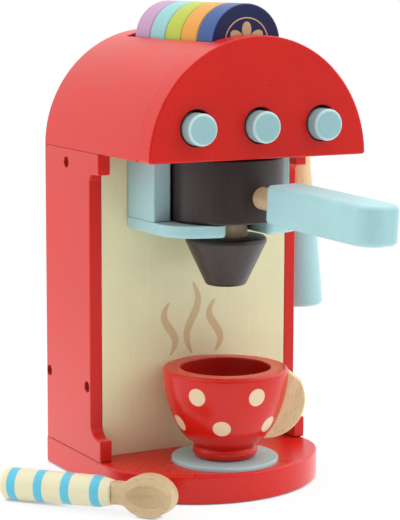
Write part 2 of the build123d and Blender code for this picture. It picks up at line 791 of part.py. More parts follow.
cup_axis = Plane(origin=(0, axis_y, 0), x_dir=(1, 0, 0), z_dir=(0, -1, 0))
with BuildPart() as cup:
    with BuildSketch(cup_axis):
        with BuildLine():
            cup_side(cup_z + cup_h + 0.01)
        make_face()
    revolve(axis=Axis((0, axis_y, 0), (0, 0, 1)))
    with BuildSketch(cup_axis):
        with BuildLine():
            mouth_z = cup_z + cup_h + 0.01
            Spline((0, cup_z + cup_floor_h), (cup_floor_r, cup_z + cup_floor_h + 3.2),
                   (cup_mouth_r - 2.6, mouth_z - 17), (cup_mouth_r, mouth_z),
                   tangents=[(1, 0), (0.08, 1)])
            Polyline((cup_mouth_r, mouth_z), (0, mouth_z), (0, cup_z + cup_floor_h))
        make_face()
    revolve(axis=Axis((0, axis_y, 0), (0, 0, 1)), mode=Mode.SUBTRACT)
    fillet(cup.faces().sort_by(Axis.Z)[-1].edges().sort_by(SortBy.LENGTH)[0], cup_mouth_round)
    rim_top = cup.faces().filter_by(GeomType.PLANE).sort_by(Axis.Z)[-1]
    fillet(rim_top.edges().sort_by(SortBy.LENGTH)[-1], cup_rim_round)
save(cup, "cup")

handle_side = math.radians(cup_handle_turn)
cup_handle_plane = Plane(
    origin=(0, axis_y, 0),
    x_dir=(math.sin(handle_side), -math.cos(handle_side), 0),
    z_dir=(-math.cos(handle_side), -math.sin(handle_side), 0))
cup_handle_faces = Axis(cup_handle_plane.origin, cup_handle_plane.z_dir)
with BuildPart() as cup_handle:
    with BuildSketch(cup_handle_plane.offset(-cup_handle_t / 2)):
        with Locations((cup_handle_out, cup_z + cup_handle_up)):
            Circle(cup_handle_r)
            with Locations(Location((0, 0, 0), (0, 0, cup_handle_flat_turn))):
                with Locations((cup_handle_flat, 0)):
                    Rectangle(2 * cup_handle_r, 2 * cup_handle_r,
                              align=(Align.MAX, Align.CENTER), mode=Mode.INTERSECT)
    extrude(amount=cup_handle_t)
    flat_sides = cup_handle.faces().sort_by(cup_handle_faces)
    fillet([flat_sides[0].edges(), flat_sides[-1].edges()], cup_handle_edge_r)
    with BuildSketch(cup_axis):
        with BuildLine():
            cup_side(cup_z + 2 * cup_h, pilot_gap)
        make_face()
    revolve(axis=Axis((0, axis_y, 0), (0, 0, 1)), mode=Mode.SUBTRACT)
save(cup_handle, "cup_handle")

# ---- capsules: round slices standing on edge, front to back ----
for index, colour in enumerate(("blue", "orange", "lime", "aqua", "lilac")):
    with BuildPart() as capsule:
        with BuildSketch(facing_front(pod_front_y + index * pod_pitch)):
            with Locations((0, pod_z)):
                Circle(pod_r)
        extrude(amount=-pod_t)
        fillet(capsule.edges().filter_by(GeomType.CIRCLE), pod_edge_r)
    save(capsule, f"capsule_{colour}")

# ---- spoon: lies beside the base on the handle's end and the bowl's lower edge ----
bowl_middle = spoon_handle_l + spoon_neck_l + spoon_bowl_l / 2
spoon_lean = math.radians(spoon_roll)
bowl_drop = spoon_bowl_w / 2 * math.cos(spoon_lean) + spoon_t / 2 * math.sin(spoon_lean) + pilot_gap
spoon_rise = math.asin((bowl_drop - spoon_handle_r) / (bowl_middle - spoon_end_r))
spoon_heading = math.radians(spoon_turn)
spoon_along = Vector(math.sin(spoon_heading) * math.cos(spoon_rise),
                     -math.cos(spoon_heading) * math.cos(spoon_rise), math.sin(spoon_rise))
spoon_level = Vector(-math.cos(spoon_heading), -math.sin(spoon_heading), 0)
spoon_face = spoon_level.rotate(Axis((0, 0, 0), tuple(spoon_along)), -spoon_roll)
spoon_lift = spoon_handle_r * math.cos(spoon_rise) - math.sin(spoon_rise) * spoon_end_r
spoon_plane = Plane(origin=(spoon_x, spoon_y, spoon_lift), x_dir=spoon_along, z_dir=spoon_face)
spoon_axis = Axis((spoon_x, spoon_y, spoon_lift), tuple(spoon_along))

shoulder_x = spoon_handle_l - spoon_nose_l
with BuildPart() as spoon_handle:
    with BuildSketch(spoon_plane):
        with BuildLine():
            Polyline((0, 0), (0, spoon_handle_r), (shoulder_x, spoon_handle_front_r),
                     (spoon_handle_l, spoon_nose_r), (spoon_handle_l, 0), close=True)
        make_face()
    revolve(axis=spoon_axis)
    end_rims = spoon_handle.edges().filter_by(GeomType.CIRCLE).sort_by(spoon_axis)
    fillet(end_rims[0], spoon_end_r)
    fillet(end_rims[1], spoon_shoulder_r)
    front_rims = spoon_handle.edges().filter_by(GeomType.CIRCLE).sort_by(spoon_axis)
    fillet(front_rims[-1], spoon_nose_edge_r)
    with BuildSketch(Plane(origin=spoon_plane.from_local_coords(Vector(spoon_handle_l, 0, 0)),
                           x_dir=spoon_plane.y_dir, z_dir=spoon_along)):
        Rectangle(spoon_tongue_w + 2 * pilot_gap, spoon_tongue_t + 2 * pilot_gap)
    extrude(amount=-spoon_neck_in, mode=Mode.SUBTRACT)
save(spoon_handle, "spoon_handle")

with BuildPart() as spoon_bowl:
    with BuildSketch(spoon_plane.offset(-spoon_t / 2)) as bowl_outline:
        with Locations((bowl_middle, 0)):
            Ellipse(spoon_bowl_l / 2, spoon_bowl_w / 2)
        with Locations(((spoon_handle_l + bowl_middle) / 2, 0)):
            Rectangle(bowl_middle - spoon_handle_l, spoon_neck_w)
        fillet(bowl_outline.vertices().group_by(Axis.X)[1], spoon_root_r)
    extrude(amount=spoon_t)
    outward = Axis(spoon_axis.position, tuple(spoon_plane.z_dir))
    fillet(spoon_bowl.faces().sort_by(outward)[-1].edges(), spoon_edge_r)
    with BuildSketch(Plane(origin=spoon_plane.from_local_coords(
            Vector(spoon_handle_l - spoon_neck_in + tenon_end_gap, 0, 0)),
            x_dir=spoon_plane.y_dir, z_dir=spoon_along)):
        Rectangle(spoon_tongue_w, spoon_tongue_t)
    extrude(amount=spoon_neck_in)
    scoop_round = ((scoop_w / 2) ** 2 + scoop_depth ** 2) / (2 * scoop_depth)
    scoop_lift = spoon_t / 2 + scoop_round - scoop_depth
    scoop_centre = spoon_plane.from_local_coords(
        Vector(bowl_middle + scoop_forward, 0, scoop_lift))
    scoop_plane = Plane(origin=scoop_centre, x_dir=spoon_along, z_dir=spoon_plane.y_dir)
    with BuildSketch(scoop_plane):
        with BuildLine():
            ThreePointArc((-scoop_l / 2, scoop_round - scoop_depth), (0, scoop_round),
                          (scoop_l / 2, scoop_round - scoop_depth))
            Polyline((scoop_l / 2, scoop_round - scoop_depth), (scoop_l / 2, 0), (-scoop_l / 2, 0),
                     (-scoop_l / 2, scoop_round - scoop_depth))
        make_face()
    revolve(axis=Axis(scoop_plane.origin, tuple(spoon_along)), mode=Mode.SUBTRACT)
save(spoon_bowl, "spoon_bowl")

# ---- screws and dowels ----
recess = counterbore_t - screw_head_t
group([screw((side * (head_radius - recess), y, z), (-side, 0, 0))
       for side in (-1, 1) for y, z in side_screw_yz], "side_screws")
group([screw((x, y, recess), (0, 0, 1), base_screw_l) for x, y in base_screw_xy], "base_screws")
group([screw((x, y, seam_z - top_board_t + recess), (0, 0, 1), head_screw_l)
       for x, y in head_screw_xy], "head_screws")
group([rod((side * (head_radius - side_t / 2), y, base_t - thin_dowel_l / 2 + pilot_gap), (0, 0, 1),
           thin_dowel_r, thin_dowel_l - 2 * pilot_gap)
       for side in (-1, 1) for y in panel_dowel_y], "panel_dowels")
group([rod(((head_radius - shell_t / 2) * math.cos(math.radians(angle)),
            plate_rear_y - thin_dowel_l / 2 + pilot_gap,
            head_axis_z + (head_radius - shell_t / 2) * math.sin(math.radians(angle))),
           (0, 1, 0), thin_dowel_r, thin_dowel_l - 2 * pilot_gap)
       for angle in front_dowel_angles], "front_plate_dowels")
group([rod((side * (block_inner + block_t / 2), y, seam_z - (dowel_l - dowel_in_floor) + pilot_gap),
           (0, 0, 1), dowel_r, dowel_l - 2 * pilot_gap)
       for side in (-1, 1) for y in block_dowel_y], "holder_block_dowels")
group([rod((side * (block_inner + block_t / 2), y, holder_top_z - dowel_in_plate + pilot_gap), (0, 0, 1),
           dowel_r, dowel_l - 2 * pilot_gap)
       for side in (-1, 1) for y in block_dowel_y], "holder_plate_dowels")
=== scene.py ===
"""Finishes, printed marks and studio for the toy coffee maker."""

import math

import bmesh
import bpy
from bpy.props import FloatProperty, FloatVectorProperty, IntProperty, PointerProperty
from mathutils import Matrix, Vector


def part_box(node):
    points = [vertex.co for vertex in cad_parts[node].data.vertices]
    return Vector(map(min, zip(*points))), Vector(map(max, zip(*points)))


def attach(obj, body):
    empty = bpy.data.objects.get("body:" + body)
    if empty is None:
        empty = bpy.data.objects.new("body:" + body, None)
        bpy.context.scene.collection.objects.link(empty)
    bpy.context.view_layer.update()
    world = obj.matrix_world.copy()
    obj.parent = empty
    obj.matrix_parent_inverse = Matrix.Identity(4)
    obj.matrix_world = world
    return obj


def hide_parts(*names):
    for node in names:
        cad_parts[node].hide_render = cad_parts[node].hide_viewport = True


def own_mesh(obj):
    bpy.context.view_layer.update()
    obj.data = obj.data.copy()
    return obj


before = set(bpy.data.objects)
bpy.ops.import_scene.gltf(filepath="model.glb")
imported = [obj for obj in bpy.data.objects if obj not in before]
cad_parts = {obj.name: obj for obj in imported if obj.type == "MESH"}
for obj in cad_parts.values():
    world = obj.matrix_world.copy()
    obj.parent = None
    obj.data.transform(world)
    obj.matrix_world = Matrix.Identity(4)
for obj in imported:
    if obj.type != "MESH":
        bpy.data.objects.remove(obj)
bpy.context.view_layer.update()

bl_info = {
    "name": "Toy Coffee Maker",
    "version": (1, 0, 0),
    "blender": (4, 5, 0),
    "location": "View3D > Sidebar > Coffee Maker",
    "description": "Paints, prints and stages a wooden toy coffee maker",
    "category": "Object",
}

MM = 0.001
UP = (0.0, 0.0, 1.0)
ACROSS = (1.0, 0.0, 0.0)
DEEP = (0.0, 1.0, 0.0)


def srgb(red, green, blue):
    """A colour given as 0 to 255 screen values, as linear light."""

    def linear(value):
        share = value / 255
        return share / 12.92 if share <= 0.04045 else ((share + 0.055) / 1.055) ** 2.4

    return (linear(red), linear(green), linear(blue))


def shade(colour, factor):
    """A colour made lighter or darker, with full opacity."""
    return tuple(min(1.0, part * factor) for part in colour[:3]) + (1.0,)


def middle(node):
    """The middle of a node's box."""
    low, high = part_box(node)
    return (low + high) / 2


# ---------------------------------------------------------------- sizes and colours


def colour_setting(name, about, red, green, blue):
    """A colour property with a screen-value default."""
    return FloatVectorProperty(
        name=name, description=about, subtype="COLOR", size=3, min=0.0, max=1.0,
        default=srgb(red, green, blue))


def length_setting(name, about, millimetres):
    """A length property with a default in millimetres."""
    return FloatProperty(
        name=name, description=about, default=millimetres * MM, min=0.0,
        unit="LENGTH", subtype="DISTANCE", precision=4)


class CoffeeColours(bpy.types.PropertyGroup):
    """Paint and wood colours of the toy."""

    cabinet_red: colour_setting("Cabinet red", "Red paint of the machine", 212, 24, 12)
    cup_red: colour_setting("Cup red", "Red paint of the cup", 206, 26, 14)
    board_cream: colour_setting("Board cream", "Cream paint of the front board", 236, 233, 190)
    print_tan: colour_setting("Print tan", "Tan of the printed steam and rosette", 218, 194, 148)
    turquoise: colour_setting("Turquoise", "Pale turquoise paint", 165, 209, 213)
    saucer_grey: colour_setting("Saucer grey", "Grey turquoise of the saucer", 168, 206, 208)
    brown_stain: colour_setting("Brown stain", "Dark stain of the drum and spout", 43, 31, 29)
    beech: colour_setting("Beech", "Clear lacquered beech", 220, 193, 149)
    lilac: colour_setting("Lilac", "Rear capsule", 190, 148, 186)
    aqua: colour_setting("Aqua", "Second capsule", 142, 200, 199)
    lime: colour_setting("Lime", "Third capsule", 180, 194, 56)
    orange: colour_setting("Orange", "Fourth capsule", 226, 156, 54)
    blue: colour_setting("Blue", "Front capsule", 32, 80, 146)
    # The navy is painted shade on the front capsule's face, darker than its blue side.
    face_shade_navy: colour_setting("Navy", "Printed face of the front capsule", 28, 36, 88)
    dot_cream: colour_setting("Dot cream", "Dots on the cup", 228, 205, 170)
    spoon_cream: colour_setting("Spoon cream", "Spoon handle", 232, 226, 190)
    spoon_blue: colour_setting("Spoon blue", "Bands on the spoon handle", 96, 196, 222)
    zinc: colour_setting("Zinc", "Plated screws and springs", 190, 190, 192)


class CoffeeSizes(bpy.types.PropertyGroup):
    """Sizes of the printed and painted marks."""

    print_lift: length_setting("Print lift", "Thickness of a printed mark", 0.04)
    steam_height: length_setting("Steam height", "Height of the middle steam line", 46.0)
    steam_swing: length_setting("Steam swing", "Sideways swing of a steam line", 4.0)
    steam_width: length_setting("Steam width", "Widest part of a steam line", 5.2)
    steam_pitch: length_setting("Steam pitch", "Distance between steam lines", 16.0)
    dot_radius: length_setting("Dot radius", "Radius of a dot on the cup", 5.45)
    dot_high: length_setting("Upper dots", "Height of the upper row of dots", 63.7)
    dot_low: length_setting("Lower dots", "Height of the lower row of dots", 44.0)
    band_width: length_setting("Band width", "Width of a painted band on the spoon", 5.7)
    band_starts: FloatVectorProperty(
        name="Band starts", description="Where the bands start, from the handle's rear end",
        size=4, unit="LENGTH", default=(6.4 * MM, 24.3 * MM, 42.2 * MM, 61.4 * MM))
    ring_radius: length_setting("Ring radius", "Thin ring on the front capsule", 14.4)
    ring_width: length_setting("Ring width", "Line width of that ring", 0.7)
    petals: IntProperty(
        name="Petals", description="Petals of the rosette", default=6, min=3, max=12)


# ---------------------------------------------------------------- shader graph helper


class Graph:
    """Builds the node tree of one material."""

    def __init__(self, name):
        self.material = bpy.data.materials.new(name)
        self.material.use_nodes = True
        self.tree = self.material.node_tree
        self.tree.nodes.clear()
        self.where = self.add("ShaderNodeTexCoord").outputs["Object"]

    def add(self, kind, **settings):
        """A new node with some of its settings filled in."""
        node = self.tree.nodes.new(kind)
        for key, value in settings.items():
            setattr(node, key, value)
        return node

    def feed(self, socket, value):
        """Link a value that comes from a node, or set a plain one."""
        if isinstance(value, bpy.types.NodeSocket):
            self.tree.links.new(value, socket)
        elif hasattr(socket.default_value, "__len__") and hasattr(value, "__len__"):
            size = len(socket.default_value)
            socket.default_value = (tuple(value) + (1.0,))[:size]
        else:
            socket.default_value = value

    def sum(self, kind, *values, clamp=False):
        """A math node on up to three values."""
        node = self.add("ShaderNodeMath", operation=kind, use_clamp=clamp)
        for socket, value in zip(node.inputs, values):
            self.feed(socket, value)
        return node.outputs[0]

    def vector(self, kind, *values):
        """A vector math node; a number comes out of a dot product, length or distance."""
        node = self.add("ShaderNodeVectorMath", operation=kind)
        sockets = [node.inputs["Vector"], node.inputs["Scale"]] if kind == "SCALE" else node.inputs
        for socket, value in zip(sockets, values):
            self.feed(socket, value)
        return node.outputs["Value" if kind in ("DOT_PRODUCT", "LENGTH", "DISTANCE") else "Vector"]

    def parts(self, vector):
        """The x, y and z of a vector."""
        node = self.add("ShaderNodeSeparateXYZ")
        self.feed(node.inputs[0], vector)
        return node.outputs

    def stretched(self, direction, along, across):
        """Coordinates for wood: along and across are repeats per metre."""
        run = self.vector("DOT_PRODUCT", self.where, direction)
        shift = self.vector("SCALE", direction, self.sum("MULTIPLY", run, along - across))
        return self.vector("ADD", self.vector("SCALE", self.where, across), shift)

    def noise(self, vector, scale=1.0, detail=2.0, roughness=0.5, distortion=0.0):
        """Smooth noise from 0 to 1."""
        node = self.add("ShaderNodeTexNoise")
        self.feed(node.inputs["Vector"], vector)
        node.inputs["Scale"].default_value = scale
        node.inputs["Detail"].default_value = detail
        node.inputs["Roughness"].default_value = roughness
        node.inputs["Distortion"].default_value = distortion
        return node.outputs["Fac"]

    def cells(self, vector):
        """Distance to the nearest scattered point, and that cell's random colour."""
        node = self.add("ShaderNodeTexVoronoi")
        self.feed(node.inputs["Vector"], vector)
        node.inputs["Scale"].default_value = 1.0
        return node.outputs["Distance"], node.outputs["Color"]

    def span(self, value, low, high, start=0.0, end=1.0, smooth=False):
        """Map low..high to start..end, clamped."""
        curve = "SMOOTHSTEP" if smooth else "LINEAR"
        node = self.add("ShaderNodeMapRange", interpolation_type=curve)
        for name, number in (("Value", value), ("From Min", low), ("From Max", high),
                             ("To Min", start), ("To Max", end)):
            self.feed(node.inputs[name], number)
        return node.outputs["Result"]

    def blend(self, factor, first, second):
        """Mix two colours; the mix node keeps its colour sockets after those for numbers."""
        node = self.add("ShaderNodeMix", data_type="RGBA")
        factor_socket, first_socket, second_socket = (node.inputs[place] for place in (0, 6, 7))
        self.feed(factor_socket, factor)
        self.feed(first_socket, first)
        self.feed(second_socket, second)
        return node.outputs[2]

    def bump(self, height, depth, strength=1.0, under=None):
        """Fine relief; depth is the height of a full step."""
        node = self.add("ShaderNodeBump")
        node.inputs["Strength"].default_value = strength
        node.inputs["Distance"].default_value = depth
        self.feed(node.inputs["Height"], height)
        if under is not None:
            self.feed(node.inputs["Normal"], under)
        return node.outputs["Normal"]

    def facing(self):
        """Which way the surface faces."""
        return self.add("ShaderNodeNewGeometry").outputs["Normal"]

    def edges(self, radius):
        """1 on sharp or softly rounded edges, 0 on flats."""
        soft = self.add("ShaderNodeBevel", samples=6)
        soft.inputs["Radius"].default_value = radius
        likeness = self.vector("DOT_PRODUCT", soft.outputs[0], self.facing())
        flat_from, edge_from = 0.995, 0.80
        return self.span(likeness, flat_from, edge_from, smooth=True)

    def occlusion_shade(self, reach, deepest=0.18):
        """Painted shade from ambient occlusion: 1 in the open, falling to deepest where two pieces
        meet within reach.
        """
        node = self.add("ShaderNodeAmbientOcclusion", samples=6)
        node.inputs["Distance"].default_value = reach
        shut, open_air = 0.15, 0.62
        return self.span(node.outputs["AO"], shut, open_air, deepest, 1.0, smooth=True)

    def finish(self, colour, roughness, normal=None, **constants):
        """The surface shader; constants are set on its own sockets."""
        shader = self.add("ShaderNodeBsdfPrincipled")
        self.feed(shader.inputs["Base Color"], colour)
        self.feed(shader.inputs["Roughness"], roughness)
        if normal is not None:
            self.feed(shader.inputs["Normal"], normal)
        for name, value in constants.items():
            shader.inputs[name.replace("_", " ")].default_value = value
        output = self.add("ShaderNodeOutputMaterial")
        self.tree.links.new(shader.outputs[0], output.inputs["Surface"])
        return self.material


# ---------------------------------------------------------------- finishes


def paint_layers(graph, colour, direction, gloss, joints):
    """Tone, roughness and relief of brushed satin paint over sanded wood.

    direction is the way of the grain; the last argument turns on painted shade along the lines
    where pieces meet."""
    patches_per_metre, specks_per_metre = 28.0, 900.0
    grain_along, grain_across = 22.0, 520.0
    edge_width, joint_shade_width = 1.1 * MM, 2.2 * MM
    edge_highlight_share, edge_highlight_lift, edge_dullness = 0.22, 0.10, 0.06
    patch_tone, grain_tone, speck_tone = 0.05, 0.02, 0.015
    grain_depth, speck_depth = 0.018 * MM, 0.012 * MM
    patches = graph.noise(graph.where, patches_per_metre, 3.0)
    grain = graph.noise(graph.stretched(direction, grain_along, grain_across), 1.0, 3.0, 0.6)
    speck = graph.noise(graph.where, specks_per_metre, 2.0)
    edge = graph.edges(edge_width)
    tone = graph.sum("ADD", graph.span(patches, 0.1, 0.9, -patch_tone, patch_tone, smooth=True),
                     graph.span(grain, 0.1, 0.9, -grain_tone, grain_tone, smooth=True))
    tone = graph.sum("ADD", tone, graph.span(speck, 0.3, 0.7, -speck_tone, speck_tone))
    level = graph.sum("ADD", 1.0, tone)
    # Painted shade: darker where pieces meet, where nearby surfaces shut out the light.
    if joints:
        level = graph.sum("MULTIPLY", level, graph.occlusion_shade(joint_shade_width))
    toned = graph.vector("SCALE", colour, level)
    # Painted highlight: the rounded edges are painted paler, and below they are also made rougher.
    pale = graph.vector("ADD", colour, (edge_highlight_lift, edge_highlight_lift, edge_highlight_lift))
    lit = graph.blend(graph.sum("MULTIPLY", edge, edge_highlight_share), toned, pale)
    roughness = graph.sum("ADD", graph.span(patches, 0.1, 0.9, gloss - 0.05, gloss + 0.06),
                          graph.sum("MULTIPLY", edge, edge_dullness))
    relief = graph.bump(grain, grain_depth, 0.45)
    relief = graph.bump(speck, speck_depth, 0.5, relief)
    return lit, roughness, relief


def painted(graph, colour, direction, gloss, joints=True, haze=0.12):
    """The satin paint's surface shader; haze pales it where it is seen at a slant."""
    return graph.finish(
        *paint_layers(graph, colour, direction, gloss, joints), IOR=1.5, Specular_IOR_Level=0.34,
        Sheen_Weight=haze, Sheen_Roughness=0.35, Sheen_Tint=(1.0, 0.95, 0.86, 1.0))


def satin_paint(name, colour, direction=UP, gloss=0.34, haze=0.12):
    """Satin paint in one colour."""
    return painted(Graph(name), tuple(colour), direction, gloss, haze=haze)


def beech(name, colour, direction=UP, tone=1.0, fleck=0.5):
    """Lacquered beech: soft growth bands and short dark ray flecks along the grain.

    tone lightens or darkens the wood, and fleck is how strongly the flecks show."""
    graph = Graph(name)
    bands_along, bands_across = 9.0, 150.0
    fibres_along, fibres_across = 70.0, 2600.0
    flecks_along, flecks_across = 185.0, 2500.0
    flecks_left_out = 0.48
    bands = graph.noise(graph.stretched(direction, bands_along, bands_across), 1.0, 2.0, 0.5, 0.4)
    fibres = graph.noise(graph.stretched(direction, fibres_along, fibres_across), 1.0, 2.0)
    reach, chance = graph.cells(graph.stretched(direction, flecks_along, flecks_across))
    picked = graph.sum("GREATER_THAN", graph.parts(chance)[0], flecks_left_out)
    flecks = graph.sum("MULTIPLY", graph.span(reach, 0.44, 0.22, smooth=True), picked)
    body = tuple(part * tone for part in colour)
    fleck_colour = tuple(part * share for part, share in zip(body, (0.42, 0.33, 0.26)))
    wood = graph.blend(graph.span(bands, 0.3, 0.7), shade(body, 0.86), shade(body, 1.10))
    wood = graph.blend(graph.span(fibres, 0.35, 0.75, 0.0, 0.30), wood, shade(body, 0.70))
    wood = graph.blend(graph.sum("MULTIPLY", flecks, fleck), wood, fleck_colour)
    roughness = graph.span(bands, 0.3, 0.7, 0.42, 0.54)
    relief = graph.bump(fibres, 0.03 * MM, 0.5)
    relief = graph.bump(flecks, -0.04 * MM, 0.6, relief)
    return graph.finish(wood, roughness, relief, IOR=1.48)


def dark_stain(name, colour, direction=UP):
    """Dark stained wood with open pores that stay black."""
    graph = Graph(name)
    bands_along, bands_across = 12.0, 230.0
    fibres_along, fibres_across = 90.0, 2200.0
    pores_along, pores_across = 120.0, 1300.0
    pores_left_out = 0.55
    edge_width = 1.4 * MM
    bands = graph.noise(graph.stretched(direction, bands_along, bands_across), 1.0, 3.0, 0.6)
    fibres = graph.noise(graph.stretched(direction, fibres_along, fibres_across), 1.0, 2.0)
    reach, chance = graph.cells(graph.stretched(direction, pores_along, pores_across))
    picked = graph.sum("GREATER_THAN", graph.parts(chance)[1], pores_left_out)
    pores = graph.sum("MULTIPLY", graph.span(reach, 0.30, 0.12, smooth=True), picked)
    edge = graph.edges(edge_width)
    wood = graph.blend(graph.span(bands, 0.28, 0.72), shade(colour, 0.72), shade(colour, 1.25))
    wood = graph.blend(graph.span(fibres, 0.4, 0.8, 0.0, 0.35), wood, shade(colour, 1.7))
    wood = graph.blend(graph.sum("MULTIPLY", pores, 0.8), wood, shade(colour, 0.25))
    # Painted highlight: the rounded edges are painted paler.
    wood = graph.blend(graph.sum("MULTIPLY", edge, 0.18), wood, shade(colour, 2.4))
    roughness = graph.span(fibres, 0.3, 0.7, 0.30, 0.42)
    relief = graph.bump(fibres, 0.05 * MM, 0.7)
    relief = graph.bump(pores, -0.08 * MM, 0.8, relief)
    return graph.finish(wood, roughness, relief, IOR=1.5)


def plated_steel(name, colour):
    """Zinc plated steel with fine drawing marks."""
    graph = Graph(name)
    marks_along, marks_across, clouds_per_metre = 300.0, 4200.0, 650.0
    marks = graph.noise(graph.stretched(DEEP, marks_along, marks_across), 1.0, 2.0)
    cloud = graph.noise(graph.where, clouds_per_metre, 2.0)
    metal = graph.blend(graph.span(cloud, 0.3, 0.7), shade(colour, 0.82), shade(colour, 1.08))
    roughness = graph.span(marks, 0.3, 0.7, 0.22, 0.42)
    return graph.finish(metal, roughness, graph.bump(marks, 0.01 * MM, 0.5), Metallic=1.0)


def length_of(graph, *values):
    """Length of the vector with these parts."""
    total = graph.sum("MULTIPLY", values[0], values[0])
    for value in values[1:]:
        total = graph.sum("ADD", total, graph.sum("MULTIPLY", value, value))
    return graph.sum("SQRT", total)


def around(graph, centre, count, first_angle, axes, radius):
    """Place seen from the nearest of some spots spaced evenly on a circle: outward and aside.

    axes picks the two coordinates that the circle lies in, centre is the circle's middle, and
    first_angle is counted from the first of them."""
    parts = graph.parts(graph.vector("SUBTRACT", graph.where, centre))
    across, up = (parts[axis] for axis in axes)
    step = 2 * math.pi / count
    turned = graph.sum("SUBTRACT", graph.sum("ARCTAN2", up, across), first_angle - step / 2)
    folded = graph.sum("SUBTRACT", graph.sum("WRAP", turned, step, 0.0), step / 2)
    reach = length_of(graph, across, up)
    outward = graph.sum("MULTIPLY", reach, graph.sum("COSINE", folded))
    aside = graph.sum("MULTIPLY", reach, graph.sum("SINE", folded))
    return graph.sum("SUBTRACT", outward, radius), aside


# ---------------------------------------------------------------- mesh helpers


def dress(material, *nodes):
    """Give CAD nodes one finish."""
    for name in nodes:
        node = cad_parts[name]
        node.data.materials.clear()
        node.data.materials.append(material)


def piece_from(bm, name, body, material):
    """Turn a bmesh into a piece that rides on a body."""
    mesh = bpy.data.meshes.new(name)
    bm.to_mesh(mesh)
    bm.free()
    piece = bpy.data.objects.new(name, mesh)
    bpy.context.scene.collection.objects.link(piece)
    mesh.materials.append(material)
    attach(piece, body)
    return piece


def steam_outline(base_x, base_z, height, swing, width):
    """Left and right edges of one wavy line that thins out at both ends."""
    steps, bluntness = 48, 0.55
    left, right = [], []
    for index in range(steps + 1):
        share = index / steps
        x = base_x + swing * math.sin(2 * math.pi * share)
        z = base_z + height * share
        lean = swing * 2 * math.pi * math.cos(2 * math.pi * share) / height
        size = math.hypot(1.0, lean)
        half = width / 2 * math.sin(math.pi * share) ** bluntness
        left.append((x - half / size, z + half * lean / size))
        right.append((x + half / size, z - half * lean / size))
    return left, right


# ---------------------------------------------------------------- operators


class COFFEE_OT_cabinet(bpy.types.Operator):
    """Paint the base, the side panels and the head red"""

    bl_idname = "coffee.cabinet"
    bl_label = "Red cabinet"

    def execute(self, context):
        colours = context.scene.coffee_colours
        upright = satin_paint("cabinet_paint_upright", colours.cabinet_red, UP, haze=0.34)
        lengthwise = satin_paint("cabinet_paint_deep", colours.cabinet_red, DEEP, haze=0.2)
        sideways = satin_paint("cabinet_paint_across", colours.cabinet_red, ACROSS, 0.27, haze=0.03)
        dress(upright, "side_panel_left", "side_panel_right", "back_panel")
        dress(lengthwise, "head_shell", "head_floor")
        dress(sideways, "base_plate", "head_front_plate", "head_back_plate", "top_board")
        return {"FINISHED"}


class COFFEE_OT_board(bpy.types.Operator):
    """Paint the front board cream and print three steam lines on it"""

    bl_idname = "coffee.board"
    bl_label = "Cream board and steam print"

    def execute(self, context):
        colours = context.scene.coffee_colours
        sizes = context.scene.coffee_sizes
        dress(satin_paint("board_paint", colours.board_cream, UP, 0.40, haze=0.2), "front_board")
        face_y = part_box("front_board")[0].y
        ink = satin_paint("steam_ink", colours.print_tan, UP, 0.45)
        middle_x = middle("saucer").x - 2.0 * MM
        base_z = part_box("cup")[1].z + 1.0 * MM
        outer_share = 0.74
        sunk = 0.2 * sizes.print_lift
        bm = bmesh.new()
        for place, share, flip in ((-1, outer_share, 1), (0, 1.0, -1), (1, outer_share, 1)):
            left, right = steam_outline(
                middle_x + place * sizes.steam_pitch, base_z, sizes.steam_height * share,
                flip * sizes.steam_swing, sizes.steam_width)
            rows = []
            for side in (left, right):
                for depth in (-sizes.print_lift, sunk):
                    rows.append([bm.verts.new((x, face_y + depth, z)) for x, z in side])
            left_front, left_back, right_front, right_back = rows
            for a, b in ((left_front, right_front), (right_front, right_back),
                         (right_back, left_back), (left_back, left_front)):
                for low in range(len(a) - 1):
                    bm.faces.new((a[low], b[low], b[low + 1], a[low + 1]))
            for end in (0, -1):
                bm.faces.new([row[end] for row in (left_front, left_back, right_back, right_front)])
        bmesh.ops.remove_doubles(bm, verts=bm.verts, dist=1e-6)
        bmesh.ops.recalc_face_normals(bm, faces=bm.faces)
        piece_from(bm, "steam_print", "machine", ink)
        return {"FINISHED"}


class COFFEE_OT_buttons(bpy.types.Operator):
    """Paint the push buttons and finish what stands behind them"""

    bl_idname = "coffee.buttons"
    bl_label = "Push buttons"

    def execute(self, context):
        colours = context.scene.coffee_colours
        paint = self.rim_highlight_paint(colours.turquoise)
        wood = beech("button_wood", colours.beech, ACROSS)
        steel = plated_steel("spring_steel", colours.zinc)
        for side in ("left", "middle", "right"):
            dress(paint, f"button_{side}")
            dress(wood, f"button_ring_{side}")
            self.squashing_spring(side, steel)
        dress(wood, "button_board")
        return {"FINISHED"}

    def rim_highlight_paint(self, colour):
        """Turquoise paint, painted darker on the front face as painted shade and paler on the
        rounded rim as a painted highlight.
        """
        graph = Graph("button_paint")
        frontal = graph.sum("ABSOLUTE", graph.parts(graph.facing())[1])
        rim = graph.sum("MULTIPLY", graph.span(frontal, 0.10, 0.40),
                        graph.span(frontal, 0.96, 0.80, 0.0, 0.5))
        # Painted shade on the flat front face and a painted highlight on the rounded rim.
        coloured = graph.blend(rim, shade(colour, 0.88), shade(colour, 1.9))
        return painted(graph, coloured, DEEP, 0.30)

    def squashing_spring(self, side, steel):
        """The same spring as a piece of its own mesh, riding on the machine in place of the CAD
        spring.
        """
        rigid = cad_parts[f"button_spring_{side}"]
        bm = bmesh.new()
        bm.from_mesh(rigid.data)
        bm.transform(rigid.matrix_world)
        spring = piece_from(bm, f"spring_{side}", "machine", steel)
        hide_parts(f"button_spring_{side}")
        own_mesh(spring)


